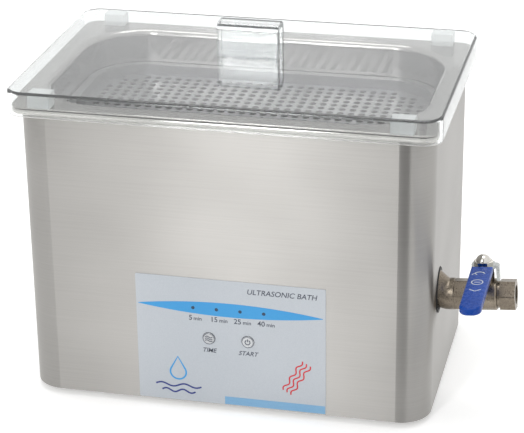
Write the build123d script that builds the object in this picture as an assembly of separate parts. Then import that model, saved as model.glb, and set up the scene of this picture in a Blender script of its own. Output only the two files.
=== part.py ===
from build123d import *
import math
import os

# Bench-top ultrasonic cleaner with a clear lid, a perforated tray and a drain valve.
# Millimetres. Origin: centre of the footprint, on the surface it stands on.
# +Z up, the control panel faces -Y, the drain valve stands out of the +X side.

# ---------------------------------------------------------------- sheet metal case
BODY_W = 260.0          # case, outside, left to right
BODY_D = 162.0          # case, outside, front to back
BODY_H = 190.0          # case bottom edge to the underside of the rolled bead
BODY_R = 20.0           # upright corners of the case
SHEET = 0.8             # case sheet
FOOT_H = 4.0            # rubber feet lift the case by this
BEAD_OUT = 2.5          # how far the rolled bead stands out of the case
BEAD_H = 3.9            # height of the rolled bead
BEAD_R = 9.5            # upright corners of the bead
BEAD_EDGE_R = 1.7       # roundness of the bead's edges
LIP_W = 12.0            # return lip inside the bottom of the case
BASE_T = 1.0            # base plate
PLATE_FIT = 0.5         # gap round the base plate
GAP = 0.02              # rest gap between pieces that only lie on each other
PAST = 1.0              # a cutter runs past the faces it cuts by this

# ---------------------------------------------------------------- tank and its seal
SEAL_T = 0.4            # seal between bead and tank flange
SEAL_INSET = 0.6        # the seal's edge sits back by this
TANK_T = 1.0            # tank sheet
TANK_W = 238.0          # tank opening, left to right
TANK_D = 138.0          # tank opening, front to back
TANK_R = 38.0           # upright corners of the tank
TANK_DEEP = 100.0       # flange top to tank floor
BEND_R = 4.0            # outer bend radius between flange and tank wall
STEP_DEEP = 23.0        # flange top to the step that carries the tray
STEP_W = 5.0            # width of the step
STEP_EDGE_R = 1.5       # roundness of the step's edge
FLOOR_R = 8.0           # bend between tank wall and floor

# ---------------------------------------------------------------- tray
TRAY_FIT = 0.8          # gap between tray and tank, each side
TRAY_T = 0.8            # tray wall
TRAY_RIM_T = 1.0        # rolled rim, lies on the step
TRAY_DEEP = 7.0         # rim top to the perforated floor
TRAY_FLOOR_T = 1.0
HOLE_R = 2.4            # perforation
HOLE_PITCH = 7.0
HOLE_MARGIN = 5.5       # from a hole's centre to the edge of the perforated sheet
ROLLED = 0.45           # a rolled sheet edge is rounded by this share of its thickness

# ---------------------------------------------------------------- clear lid
LID_FIT = 0.6           # gap between bead and lid skirt
LID_T = 2.0             # acrylic sheet
LID_RISE = 15.0         # underside of the bead to the top of the lid
LID_SKIRT = 15.5        # height of the skirt
LID_EDGE_R = 2.0        # bend between plate and skirt
RAIL_D = 10.0           # support rails under the plate's corners, front to back
RAIL_L = 14.0           # left to right
RAIL_END = 14.0         # a rail stops this far inside the skirt
HANDLE_W = 40.0
HANDLE_D = 17.0
HANDLE_H = 22.0
HANDLE_T = 4.0
HANDLE_BEND_R = 5.5
HANDLE_EDGE_R = 0.6
HANDLE_X = -2.0
HANDLE_Y = 12.0

# ---------------------------------------------------------------- control panel
PANEL_W = 122.0
PANEL_H = 87.5
PANEL_T = 0.4
PANEL_X = 4.9           # middle of the panel
PANEL_UP = 0.8          # panel bottom above the case's bottom edge
PANEL_R = 1.0
LED_R = 1.5
LED_COUNT = 4
LED_PITCH = 15.2
LED_X = 3.7             # middle of the row
LED_UP = 67.7           # above the case's bottom edge
LED_FIT = 0.15
LED_PROUD = 0.1
LED_EDGE_R = 0.6
BUTTON_R = 4.0
BUTTON_FIT = 0.2
BUTTON_PITCH = 25.2
BUTTON_X = 3.4          # middle of the pair
BUTTON_UP = 47.1
BUTTON_PROUD = 0.8      # cap above the panel face
CAP_EDGE_R = 0.4
COLLAR_GAP = 0.3        # collar to the back of the case sheet
COLLAR_R = 5.0
COLLAR_T = 0.9
STEM_R = 1.75
STEM_SINK = 0.6         # how far the stem stands in the key switch
BOARD_T = 1.6
BOARD_BACK = 8.2        # case sheet to control board
BOARD_W = 76.0
BOARD_H = 42.0
KEY_SIZE = 6.0          # key switch behind each button
KEY_T = 3.5
KEY_WELL = 2.0          # depth of the hole for the stem
STUD_R = 2.0
BOARD_EDGE = 4.0        # from a board's edge to its studs

# ---------------------------------------------------------------- transducers and heater
HORN_X = 52.0           # each side of the middle
HORN_TOP_R = 24.0
HORN_LOW_R = 19.0
HORN_H = 20.0
PIEZO_T = 5.0
PIEZO_COUNT = 2
TAIL_H = 20.0
BOLT_R = 5.0
BOLT_FIT = 0.3
BOLT_HEAD_R = 8.0
BOLT_HEAD_H = 7.0
BOLT_WELL = 4.0         # horn metal left over the bolt hole
BOLT_SHORT = 2.0        # the bolt ends this far before the hole does
RING_FIT = 1.5          # piezo ring to bolt
HEATER_W = 150.0
HEATER_H = 45.0
HEATER_T = 1.5
HEATER_UP = 4.0         # above the bend of the tank floor
THERMOSTAT_R = 8.0
THERMOSTAT_H = 7.0
THERMOSTAT_UP = 20.0    # above the bend of the tank floor
TAG_L = 4.0             # push-on tags
TAG_W = 8.0
TAG_T = 1.6

# ---------------------------------------------------------------- driver electronics
DRIVER_W = 130.0
DRIVER_D = 84.0
DRIVER_X = -45.0
DRIVER_Y = 18.0
SPACER_H = 8.0
SPACER_R = 3.0
SPACER_EDGE = 6.0       # from the board's edge to a spacer
CORE_PLACE = (-40.0, 22.0)  # transformer, from the middle of the driver board
CORE_W = 32.0
CORE_D = 12.0
CORE_H = 26.0
COIL_W = 20.0
COIL_D = 24.0
COIL_INSET = 3.0        # the winding is this much shorter at each end
SINK_X = 5.0            # heat sink, from the middle of the driver board
SINK_Y = -36.0
SINK_W = 64.0
SINK_D = 14.0
SINK_H = 20.0
SINK_T = 3.0
FIN_T = 1.6
FIN_COUNT = 7
FIN_PITCH = 9.5
CHIP_W = 14.0           # power transistors, clamped to the back of the heat sink
CHIP_T = 4.5
CHIP_H = 17.0
CHIP_UP = 1.0
CHIP_PITCH = 32.0
CAN_R = 8.0             # capacitors
CAN_H = 22.0
CAN_X = 12.0
CAN_Y = 24.0
CAN_PITCH = 22.0

# ---------------------------------------------------------------- drain and ball valve
VALVE_Y = -40.0         # valve plane
VALVE_TILT = 4.6        # the valve runs up by this, degrees
JOINT_OUT = 10.7        # joint between elbow and valve, out from the case side
JOINT_UNDER = 21.9      # and below the tank floor
ELBOW_TURN = 45.0       # degrees
ELBOW_R = 10.0          # outside of the elbow
ELBOW_BORE_R = 5.0
ELBOW_RUN = 3.0         # straight length at the valve end
ELBOW_BEND_R = 11.0     # centre line of the bend
ELBOW_EDGE_R = 0.6
STUB_R = 9.0
STUB_IN = 7.0           # the stub ends this far inside the case
STUB_THREAD_L = 6.0
THREAD_R = 6.6          # 1/4 inch pipe thread, outside
THREAD_FIT = 0.05
THREAD_L = 9.0
THREAD_SHORT = 0.5      # a thread ends this far before its hole does
TAP_R = 5.9             # 1/4 inch pipe thread, tapping size
TAP_L = 10.0
HOLE_FIT = 1.5          # grommet thickness round the elbow
GROMMET_OUT = 0.6       # grommet past the case's outer face
GROMMET_IN = 0.8        # and past its inner face
HEX_AF = 18.0           # spanner size of the valve ends
HEX_TURN = 16.0         # the hexagons stand turned by this, degrees
HEX_A_L = 8.0
NECK_L = 1.6
CORNER_CUT = 0.565      # the hexagons' corners are turned down to this share of the spanner size
BARREL_EDGE_R = 1.5
HEX_B_L = 9.6
BALL_X = 18.5           # stem axis, from the joint
BALL_R = 7.5
BALL_FIT = 0.05
WAY_R = 4.25            # water way
SEAT_WALL = 0.7         # seats stand this far outside the ball
NECK_WALL = 0.3         # and the neck this far outside them
BARREL_WALL = 1.8       # and the barrel this far
SEAT_PLAY = 0.2         # the screwed-in end reaches this far past its shoulder
SEAT_T = 4.0
SEAT_BACK = 0.6         # from the ball to the seat's flat side
STEM_ROD_R = 3.0
STEM_FIT = 0.05
STEM_UP = 1.0           # stem above the lever plate
STEM_FOOT = 0.3         # underside of the stem above the ball
BLADE_T = 2.0           # blade that turns the ball
BLADE_W = 5.2
BLADE_DEEP = 1.8
SLOT_FIT = 0.1          # ball slot round the blade
SLOT_DEEP = 2.0
BOSS_R = 6.5
BOSS_UP = 14.0          # top of the boss above the valve axis
GLAND_AF = 11.0
GLAND_H = 3.2
LEVER_UP = 18.7         # underside of the lever plate above the valve axis
LEVER_T = 2.0
LEVER_L = 67.0
LEVER_W = 9.0
HUB_R = 7.5
TAB_REACH = 10.0
TAB_W = 5.0
TAB_CLEAR = 0.5         # the bent tab ends this far outside the barrel
SLEEVE_W = 13.4
SLEEVE_T = 5.0
SLEEVE_START = 6.5      # from the stem axis
SLEEVE_TIP = 0.42       # tip corner radius as a share of the width
SLEEVE_EDGE_R = 1.4
NUT_R = 5.8
NUT_H = 2.6
NUT_FLAT = 0.9          # spanner size as a share of the round diameter
DOME_R = 4.756
DOME_SINK = 1.0         # middle of the dome below the top of the hexagon

# ---------------------------------------------------------------- mains inlet and switch
INLET_X = -75.0
INLET_UP = 34.0
INLET_W = 27.0
INLET_H = 32.0
INLET_DEEP = 22.0
INLET_FLANGE_W = 46.0
INLET_FLANGE_H = 36.0
INLET_FLANGE_T = 3.0
INLET_FIT = 0.3
INLET_CORNER_R = 4.0
INLET_EDGE_R = 1.0
SOCKET_W = 24.2
SOCKET_H = 16.4
SOCKET_DEEP = 17.0
SOCKET_UP = 6.0
PIN_W = 2.0
PIN_H = 4.0
PIN_L = 14.0
PIN_SPREAD = 7.0
PIN_STEP = 2.0          # earth pin above the socket's middle, the others below it
DRAWER_W = 20.0
DRAWER_H = 6.4
DRAWER_L = 19.0
DRAWER_DOWN = 10.0
DRAWER_FIT = 0.2
DRAWER_FACE_W = 22.5
DRAWER_FACE_H = 8.4
DRAWER_FACE_T = 1.5
DRAWER_EDGE_R = 0.5
BAY_END = 1.0           # wall at each end of the fuse's bay
BAY_FIT = 0.2
FUSE_R = 2.5
FUSE_L = 16.0
SWITCH_X = -28.0
SWITCH_W = 12.8
SWITCH_H = 19.0
SWITCH_DEEP = 14.0
SWITCH_FLANGE = 1.2     # flange past the body, each side
SWITCH_FLANGE_T = 2.0
SWITCH_CORNER_R = 1.2
SWITCH_EDGE_R = 0.6
PIVOT_IN = 1.5          # rocker pivot inside the rear face
ROCKER_W = 11.0
ROCKER_R = 8.0
ROCKER_FIT = 0.4
ROCKER_TILT = 8.0       # at rest, degrees
ROCKER_DISH = 9.0       # slope of each half of the rocker's face, degrees
ROCKER_FACE = 4.6       # pivot to the middle of the face
ROCKER_BACK = 2.0       # the drum is cut off this far behind the pivot

# ---------------------------------------------------------------- vents, screws, feet
SLOT_W = 3.0
SLOT_L = 26.0
SLOT_PITCH = 8.0
REAR_SLOTS = 8
REAR_SLOT_X = 62.0
REAR_SLOT_UP = 60.0
BASE_SLOTS = 9
BASE_SLOT_IN = 10.0     # base slots, from the line of the feet towards the middle
FOOT_R = 9.0
FOOT_EDGE_R = 1.0
FOOT_WEB = 1.0          # rubber left above the screw head's recess
FOOT_IN_X = 30.0        # from the case's sides to the middle of a foot
FOOT_IN_Y = 31.0
SCREW_R = 1.5
SCREW_HEAD_R = 2.9
SCREW_HEAD_H = 1.6
SCREW_L = 6.0
SCREW_EDGE_R = 0.7
SCREW_IN_X = 45.0       # from the case's sides to the outer base screws
SCREW_FIT = 0.15

# ---------------------------------------------------------------- worked-out places
Z_EDGE = FOOT_H                                 # bottom edge of the case
Z_BEAD = Z_EDGE + BODY_H                        # underside of the bead
Z_SEAL = Z_BEAD + BEAD_H
Z_FLANGE = Z_SEAL + SEAL_T + TANK_T             # top of the tank flange
Z_STEP = Z_FLANGE - STEP_DEEP
Z_TANK_FLOOR = Z_FLANGE - TANK_DEEP
Z_TANK_UNDER = Z_TANK_FLOOR - TANK_T
Z_LID = Z_BEAD + LID_RISE
Z_PLATE = Z_EDGE + BASE_T                       # top of the base plate
FRONT = -BODY_D / 2
BACK = BODY_D / 2
SIDE = BODY_W / 2
JOINT_X = SIDE + JOINT_OUT
FOOT_X = SIDE - FOOT_IN_X
FOOT_Y = BODY_D / 2 - FOOT_IN_Y
INNER_FRONT = FRONT + SHEET
INNER_BACK = BACK - SHEET
RIM_W = BODY_W + 2 * BEAD_OUT
RIM_D = BODY_D + 2 * BEAD_OUT
LOW_W = TANK_W - 2 * STEP_W                     # tank below the step
LOW_D = TANK_D - 2 * STEP_W
LOW_R = TANK_R - STEP_W
BASE = (Align.CENTER, Align.CENTER, Align.MIN)
UP = Vector(0, 0, 1)
RIGHT = Vector(1, 0, 0)
REARWARD = Vector(0, 1, 0)


# ---------------------------------------------------------------- plain shapes
def prism(width, depth, radius, low, high):
    """Upright block with rounded upright corners, centred on the Z axis."""
    outline = RectangleRounded(width, depth, radius)
    return Pos(0, 0, low) * extrude(outline, high - low)


def block(x_span, y_span, z_span):
    """Plain block from three (low, high) spans."""
    sizes = [high - low for low, high in (x_span, y_span, z_span)]
    middle = [(high + low) / 2 for low, high in (x_span, y_span, z_span)]
    return Pos(*middle) * Box(*sizes)


def rod(start, axis, radius, length):
    """Round bar from a point along an axis."""
    return Plane(origin=start, z_dir=axis) * Cylinder(radius, length, align=BASE)


def hexagon_bar(start, axis, across_flats, length, turn=0.0):
    """Hexagonal bar from a point along an axis."""
    outline = RegularPolygon(across_flats / 2, 6, major_radius=False, rotation=turn)
    return Plane(origin=start, z_dir=axis) * extrude(outline, length)


def around(middle, step):
    """The two values one step below and one step above a middle."""
    return (middle - step, middle + step)


def corners(x_step, y_step, x_middle=0.0, y_middle=0.0):
    """Four points of a rectangle."""
    return [(x, y) for x in around(x_middle, x_step) for y in around(y_middle, y_step)]


def row(count, pitch, middle):
    """Evenly spaced values about a middle."""
    return [middle + (index - (count - 1) / 2) * pitch for index in range(count)]


LEDS = row(LED_COUNT, LED_PITCH, LED_X)
BUTTONS = dict(zip(("time_button", "start_button"), row(2, BUTTON_PITCH, BUTTON_X)))
Z_LED = Z_EDGE + LED_UP
Z_BUTTON = Z_EDGE + BUTTON_UP
Z_BOARD = (Z_LED + Z_BUTTON) / 2
Y_BOARD = INNER_FRONT + BOARD_BACK              # front face of the control board
Y_PANEL = FRONT - PANEL_T                       # outer face of the overlay
BOARD_STUDS = corners(BOARD_W / 2 - BOARD_EDGE, BOARD_H / 2 - BOARD_EDGE, LED_X, Z_BOARD)
BASE_SCREWS = [
    (x, y)
    for y in around(0, BODY_D / 2 - SHEET - LIP_W / 2)
    for x in (0, *around(0, SIDE - SCREW_IN_X))
]
FEET = corners(FOOT_X, FOOT_Y)
Z_INLET = Z_EDGE + INLET_UP
SPACERS = corners(DRIVER_W / 2 - SPACER_EDGE, DRIVER_D / 2 - SPACER_EDGE, DRIVER_X, DRIVER_Y)
HORNS = around(0, HORN_X)

# The valve is drawn along its own axis and placed at the joint with the elbow.
Z_JOINT = Z_FLANGE - TANK_DEEP - JOINT_UNDER
VALVE = Location((JOINT_X, VALVE_Y, Z_JOINT), (0, -VALVE_TILT, 0))
SEAT_R = BALL_R + SEAT_WALL
NECK_R = SEAT_R + NECK_WALL
VALVE_R = SEAT_R + BARREL_WALL
VALVE_L = BALL_X + BALL_R + SEAT_BACK + SEAT_PLAY + NECK_L + HEX_B_L
ELBOW_SLOPE = ELBOW_TURN - VALVE_TILT
HALF_TURN = math.radians(ELBOW_TURN) / 2
BEND_LEG = ELBOW_BEND_R * math.tan(HALF_TURN)   # joint of the two runs to each end of the bend
LEG_AXIS = Vector(-math.cos(math.radians(ELBOW_SLOPE)), 0, math.sin(math.radians(ELBOW_SLOPE)))
VALVE_AXIS = Vector(math.cos(math.radians(VALVE_TILT)), 0, math.sin(math.radians(VALVE_TILT)))
JOINT = Vector(JOINT_X, VALVE_Y, Z_JOINT)
ELBOW_CORNER = JOINT - VALVE_AXIS * (ELBOW_RUN + BEND_LEG)
# Along the leg: from outside the case to inside the tank's floor bend.
LEG_RUN = (SIDE - LOW_W / 2 + FLOOR_R + ELBOW_R) / math.cos(math.radians(ELBOW_SLOPE))


def leg_point(x):
    """Point of the elbow's sloping leg at a given X."""
    return ELBOW_CORNER + LEG_AXIS * ((x - ELBOW_CORNER.X) / LEG_AXIS.X)


# ---------------------------------------------------------------- case
def rear_slots(low, high):
    """Upright vent slots through the rear panel."""
    slots = [
        block(around(x, SLOT_W / 2), (low, high), around(Z_EDGE + REAR_SLOT_UP, SLOT_L / 2))
        for x in row(REAR_SLOTS, SLOT_PITCH, REAR_SLOT_X)
    ]
    return Part() + slots


def make_housing_shell():
    case = prism(BODY_W, BODY_D, BODY_R, Z_EDGE, Z_BEAD + BEAD_H / 2)
    bead = prism(RIM_W, RIM_D, BEAD_R, Z_BEAD, Z_SEAL)
    bead = fillet(bead.edges().filter_by(Plane.XY), BEAD_EDGE_R)
    inside = prism(BODY_W - 2 * SHEET, BODY_D - 2 * SHEET, BODY_R - SHEET, Z_EDGE, Z_SEAL)
    lip = prism(BODY_W - 2 * SHEET, BODY_D - 2 * SHEET, BODY_R - SHEET, Z_PLATE, Z_PLATE + SHEET)
    lip -= prism(
        BODY_W - 2 * SHEET - 2 * LIP_W, BODY_D - 2 * SHEET - 2 * LIP_W, BODY_R - SHEET - LIP_W / 2,
        Z_PLATE, Z_PLATE + SHEET,
    )
    shell = case + bead - inside + lip
    cuts = [rod((x, FRONT - PAST, Z_LED), REARWARD, LED_R + LED_FIT, SHEET + 2 * PAST) for x in LEDS]
    cuts += [
        rod((x, FRONT - PAST, Z_BUTTON), REARWARD, BUTTON_R + BUTTON_FIT, SHEET + 2 * PAST)
        for x in BUTTONS.values()
    ]
    cuts += [rod((x, y, Z_PLATE - PAST), UP, SCREW_R, SHEET + 2 * PAST) for x, y in BASE_SCREWS]
    cuts.append(rod(leg_point(SIDE + ELBOW_R), LEG_AXIS, ELBOW_R + HOLE_FIT, 3 * ELBOW_R))
    cuts.append(block(
        around(INLET_X, INLET_W / 2 + INLET_FIT), (INNER_BACK - PAST, BACK + PAST),
        around(Z_INLET, INLET_H / 2 + INLET_FIT),
    ))
    cuts.append(block(
        around(SWITCH_X, SWITCH_W / 2 + INLET_FIT), (INNER_BACK - PAST, BACK + PAST),
        around(Z_INLET, SWITCH_H / 2 + INLET_FIT),
    ))
    cuts += [
        rod((x, INNER_BACK - PAST, Z_INLET), REARWARD, SCREW_R, SHEET + 2 * PAST)
        for x in around(INLET_X, (INLET_W + INLET_FLANGE_W) / 4)
    ]
    cuts.append(rear_slots(INNER_BACK - PAST, BACK + PAST))
    return shell - cuts


def make_base_plate():
    inset = 2 * (SHEET + PLATE_FIT)
    plate = prism(BODY_W - inset, BODY_D - inset, BODY_R - inset / 2, Z_EDGE, Z_PLATE)
    cuts = [
        block(
            around(x, SLOT_W / 2), around(BASE_SLOT_IN - FOOT_Y, SLOT_L / 2),
            (Z_EDGE - PAST, Z_PLATE + PAST))
        for x in row(BASE_SLOTS, SLOT_PITCH, 0)
    ]
    cuts += [
        rod((x, y, Z_EDGE - PAST), UP, SCREW_R + SCREW_FIT, BASE_T + 2 * PAST)
        for x, y in BASE_SCREWS + FEET
    ]
    return plate - cuts


def make_rubber_feet():
    feet = []
    for x, y in FEET:
        foot = rod((x, y, 0), UP, FOOT_R, FOOT_H)
        foot = fillet(foot.edges().group_by(Axis.Z)[0], FOOT_EDGE_R)
        foot -= rod((x, y, 0), UP, SCREW_HEAD_R + SCREW_FIT, FOOT_H - FOOT_WEB)
        foot -= rod((x, y, 0), UP, SCREW_R + SCREW_FIT, FOOT_H)
        feet.append(foot)
    return Part() + feet


def screw(start, axis, length):
    """Pan-head screw: the head starts at the point, the shank follows along the axis."""
    head = rod(start, axis, SCREW_HEAD_R, SCREW_HEAD_H)
    head = fillet(head.edges().sort_by(Axis(tuple(start), tuple(axis)))[0], SCREW_EDGE_R)
    return head + rod(start, axis, SCREW_R, SCREW_HEAD_H + length)


def make_foot_screws():
    start = FOOT_H - FOOT_WEB - SCREW_HEAD_H
    return Part() + [screw(Vector(x, y, start), UP, SCREW_L) for x, y in FEET]


def make_base_screws():
    return Part() + [screw(Vector(x, y, Z_EDGE - SCREW_HEAD_H), UP, SCREW_L) for x, y in BASE_SCREWS]


# ---------------------------------------------------------------- tank and seal
def make_rim_seal():
    inset = 2 * SEAL_INSET
    ring = prism(RIM_W - inset, RIM_D - inset, BEAD_R - SEAL_INSET, Z_SEAL, Z_SEAL + SEAL_T)
    return ring - prism(BODY_W - 2 * SHEET, BODY_D - 2 * SHEET, BODY_R - SHEET, Z_SEAL, Z_SEAL + SEAL_T)


def make_tank():
    flange = prism(RIM_W, RIM_D, BEAD_R, Z_FLANGE - TANK_T, Z_FLANGE)
    upper = prism(TANK_W + 2 * TANK_T, TANK_D + 2 * TANK_T, TANK_R + TANK_T, Z_STEP - TANK_T, Z_FLANGE)
    lower = prism(LOW_W + 2 * TANK_T, LOW_D + 2 * TANK_T, LOW_R + TANK_T, Z_TANK_UNDER, Z_STEP)
    lower = fillet(lower.edges().group_by(Axis.Z)[0], FLOOR_R + TANK_T)
    tank = flange + upper + lower
    under = tank.faces().filter_by(Axis.Z).filter_by_position(
        Axis.Z, Z_FLANGE - TANK_T - 0.1, Z_FLANGE - TANK_T + 0.1)[0]
    tank = fillet(under.inner_wires()[0].edges(), BEND_R - TANK_T)
    tank -= prism(TANK_W, TANK_D, TANK_R, Z_STEP, Z_FLANGE)
    well = prism(LOW_W, LOW_D, LOW_R, Z_TANK_FLOOR, Z_STEP)
    tank -= fillet(well.edges().group_by(Axis.Z)[0], FLOOR_R)
    top = tank.faces().filter_by(Axis.Z).sort_by(Axis.Z)[-1]
    tank = fillet(top.inner_wires()[0].edges(), BEND_R)
    step = tank.faces().filter_by(Axis.Z).filter_by_position(Axis.Z, Z_STEP - 0.1, Z_STEP + 0.1)[0]
    tank = fillet(step.inner_wires()[0].edges(), STEP_EDGE_R)
    top = tank.faces().filter_by(Axis.Z).sort_by(Axis.Z)[-1]
    tank = fillet(top.outer_wire().edges(), TANK_T * ROLLED)
    return tank - rod(leg_point(SIDE), LEG_AXIS, ELBOW_BORE_R, LEG_RUN)


def make_drain_stub():
    start = leg_point(SIDE - SHEET - STUB_IN)
    stub = rod(start, LEG_AXIS, STUB_R, LEG_RUN)
    stub -= prism(LOW_W + 2 * TANK_T, LOW_D + 2 * TANK_T, LOW_R + TANK_T, Z_TANK_UNDER, Z_FLANGE)
    stub -= block((-SIDE, LOW_W / 2 - FLOOR_R), (FRONT, BACK), (Z_TANK_UNDER, Z_FLANGE))
    stub &= block((LOW_W / 2 - FLOOR_R, SIDE), (FRONT, BACK), (Z_EDGE, Z_FLANGE))
    stub = stub.solids().sort_by(Axis.X)[-1]
    stub -= rod(start, LEG_AXIS, THREAD_R + THREAD_FIT, STUB_THREAD_L)
    return stub - rod(start, LEG_AXIS, ELBOW_BORE_R, LEG_RUN)


# ---------------------------------------------------------------- tray
def make_basket_frame():
    fit = 2 * TRAY_FIT
    rim_top = Z_STEP + GAP + TRAY_RIM_T
    floor_low = rim_top - TRAY_DEEP - TRAY_FLOOR_T
    rim = prism(TANK_W - fit, TANK_D - fit, TANK_R - TRAY_FIT, Z_STEP + GAP, rim_top)
    rim = fillet(rim.edges().filter_by(Plane.XY), TRAY_RIM_T * ROLLED)
    wall = prism(LOW_W - fit, LOW_D - fit, LOW_R - TRAY_FIT, floor_low, rim_top - TRAY_RIM_T / 2)
    thin = fit + 2 * TRAY_T
    return rim + wall - prism(LOW_W - thin, LOW_D - thin, LOW_R - thin / 2, floor_low, rim_top)


def hole_places(half_w, half_d, radius):
    """Grid points that keep the margin inside a rounded rectangle."""
    across = int((half_w - HOLE_MARGIN) / HOLE_PITCH)
    along = int((half_d - HOLE_MARGIN) / HOLE_PITCH)
    places = []
    for column in range(-across, across + 1):
        for line in range(-along, along + 1):
            x, y = column * HOLE_PITCH, line * HOLE_PITCH
            past_x = max(abs(x) - (half_w - radius), 0)
            past_y = max(abs(y) - (half_d - radius), 0)
            if math.hypot(past_x, past_y) <= radius - HOLE_MARGIN:
                places.append((x, y))
    return places


def make_basket_floor():
    thin = 2 * (TRAY_FIT + TRAY_T)
    low = Z_STEP + GAP + TRAY_RIM_T - TRAY_DEEP - TRAY_FLOOR_T
    width, depth, radius = LOW_W - thin, LOW_D - thin, LOW_R - thin / 2
    sheet = RectangleRounded(width, depth, radius)
    holes = Sketch() + [Pos(x, y) * Circle(HOLE_R) for x, y in hole_places(width / 2, depth / 2, radius)]
    return Pos(0, 0, low) * extrude(sheet - holes, TRAY_FLOOR_T)


# ---------------------------------------------------------------- lid
LID_INNER_W = RIM_W + 2 * LID_FIT
LID_INNER_D = RIM_D + 2 * LID_FIT


def make_lid():
    low = Z_LID - LID_SKIRT
    outer = prism(
        LID_INNER_W + 2 * LID_T, LID_INNER_D + 2 * LID_T, BEAD_R + LID_FIT + LID_T, low, Z_LID)
    outer = fillet(outer.edges().group_by(Axis.Z)[-1], LID_EDGE_R)
    return outer - prism(LID_INNER_W, LID_INNER_D, BEAD_R + LID_FIT, low, Z_LID - LID_T)


def make_lid_rails():
    """Four short bars that carry the lid on the tank's flange."""
    rails = [
        block(around(x, RAIL_L / 2), around(y, RAIL_D / 2), (Z_FLANGE + GAP, Z_LID - LID_T - GAP))
        for x, y in corners(LID_INNER_W / 2 - RAIL_END - RAIL_L / 2, (LID_INNER_D - RAIL_D) / 2)]
    return Part() + rails


def make_lid_handle():
    outer = Rectangle(HANDLE_D, HANDLE_H, align=(Align.CENTER, Align.MIN))
    outer = fillet(outer.vertices().group_by(Axis.Y)[-1], HANDLE_BEND_R)
    inner = Rectangle(HANDLE_D - 2 * HANDLE_T, HANDLE_H - HANDLE_T, align=(Align.CENTER, Align.MIN))
    inner = fillet(inner.vertices().group_by(Axis.Y)[-1], HANDLE_BEND_R - HANDLE_T)
    face = Plane(origin=(HANDLE_X, HANDLE_Y, Z_LID), x_dir=(0, 1, 0), z_dir=(1, 0, 0))
    strip = extrude(face * (outer - inner), HANDLE_W / 2, both=True)
    rims = strip.edges().filter_by(Axis.Z, reverse=True).filter_by(Axis.X, reverse=True)
    return fillet(rims.group_by(Axis.Z)[-1], HANDLE_EDGE_R)


# ---------------------------------------------------------------- control panel
def make_panel_overlay():
    middle = (PANEL_X, FRONT, Z_EDGE + PANEL_UP + PANEL_H / 2)
    face = Plane(origin=middle, x_dir=(1, 0, 0), z_dir=(0, -1, 0))
    sheet = extrude(face * RectangleRounded(PANEL_W, PANEL_H, PANEL_R), PANEL_T)
    cuts = [
        rod((x, Y_PANEL - PAST, Z_LED), REARWARD, LED_R + LED_FIT, PANEL_T + 2 * PAST) for x in LEDS
    ]
    cuts += [
        rod((x, Y_PANEL - PAST, Z_BUTTON), REARWARD, BUTTON_R + BUTTON_FIT, PANEL_T + 2 * PAST)
        for x in BUTTONS.values()
    ]
    return sheet - cuts


def make_button(x):
    """Cap, collar behind the sheet and stem that reaches into the key switch."""
    cap_start = Vector(x, Y_PANEL - BUTTON_PROUD, Z_BUTTON)
    collar = INNER_FRONT + COLLAR_GAP
    cap = rod(cap_start, REARWARD, BUTTON_R, collar - cap_start.Y + COLLAR_T)
    cap = fillet(cap.edges().group_by(Axis.Y)[0], CAP_EDGE_R)
    cap += rod((x, collar, Z_BUTTON), REARWARD, COLLAR_R, COLLAR_T)
    stem_end = Y_BOARD - KEY_T + STEM_SINK
    return cap + rod((x, collar, Z_BUTTON), REARWARD, STEM_R, stem_end - collar)


def make_key_switches():
    keys = []
    for x in BUTTONS.values():
        key = block(
            around(x, KEY_SIZE / 2), (Y_BOARD - KEY_T, Y_BOARD), around(Z_BUTTON, KEY_SIZE / 2))
        keys.append(key - rod((x, Y_BOARD - KEY_T, Z_BUTTON), REARWARD, STEM_R + BUTTON_FIT, KEY_WELL))
    return Part() + keys


def make_indicator_leds():
    leds = []
    for x in LEDS:
        front = Y_PANEL - LED_PROUD
        led = rod((x, front, Z_LED), REARWARD, LED_R, Y_BOARD - front)
        leds.append(fillet(led.edges().group_by(Axis.Y)[0], LED_EDGE_R))
    return Part() + leds


def make_control_board():
    return block(
        around(LED_X, BOARD_W / 2), (Y_BOARD, Y_BOARD + BOARD_T), around(Z_BOARD, BOARD_H / 2))


def make_board_studs():
    studs = [rod((x, INNER_FRONT, z), REARWARD, STUD_R, BOARD_BACK) for x, z in BOARD_STUDS]
    return Part() + studs


# ---------------------------------------------------------------- transducers and heater
Z_PIEZO = Z_TANK_UNDER - HORN_H
Z_TAIL = Z_PIEZO - PIEZO_COUNT * PIEZO_T
Z_HEAD = Z_TAIL - TAIL_H


def make_transducer_heads():
    heads = []
    for x in HORNS:
        horn = Pos(x, 0, Z_PIEZO) * Cone(HORN_LOW_R, HORN_TOP_R, HORN_H, align=BASE)
        heads.append(horn - rod((x, 0, Z_PIEZO), UP, BOLT_R + BOLT_FIT, HORN_H - BOLT_WELL))
    return Part() + heads


def make_piezo_rings():
    rings = []
    for x in HORNS:
        for index in range(PIEZO_COUNT):
            low = (x, 0, Z_TAIL + index * PIEZO_T)
            rings.append(rod(low, UP, HORN_LOW_R, PIEZO_T) - rod(low, UP, BOLT_R + RING_FIT, PIEZO_T))
    return Compound(children=rings)


def make_transducer_tails():
    tails = [
        rod((x, 0, Z_HEAD), UP, HORN_LOW_R, TAIL_H) - rod((x, 0, Z_HEAD), UP, BOLT_R + BOLT_FIT, TAIL_H)
        for x in HORNS
    ]
    return Part() + tails


def make_transducer_bolts():
    bolts = []
    for x in HORNS:
        head = hexagon_bar((x, 0, Z_HEAD - BOLT_HEAD_H), UP, 2 * BOLT_HEAD_R, BOLT_HEAD_H)
        shank = TAIL_H + PIEZO_COUNT * PIEZO_T + HORN_H - BOLT_WELL - BOLT_SHORT
        bolts.append(head + rod((x, 0, Z_HEAD), UP, BOLT_R, shank))
    return Part() + bolts


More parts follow.
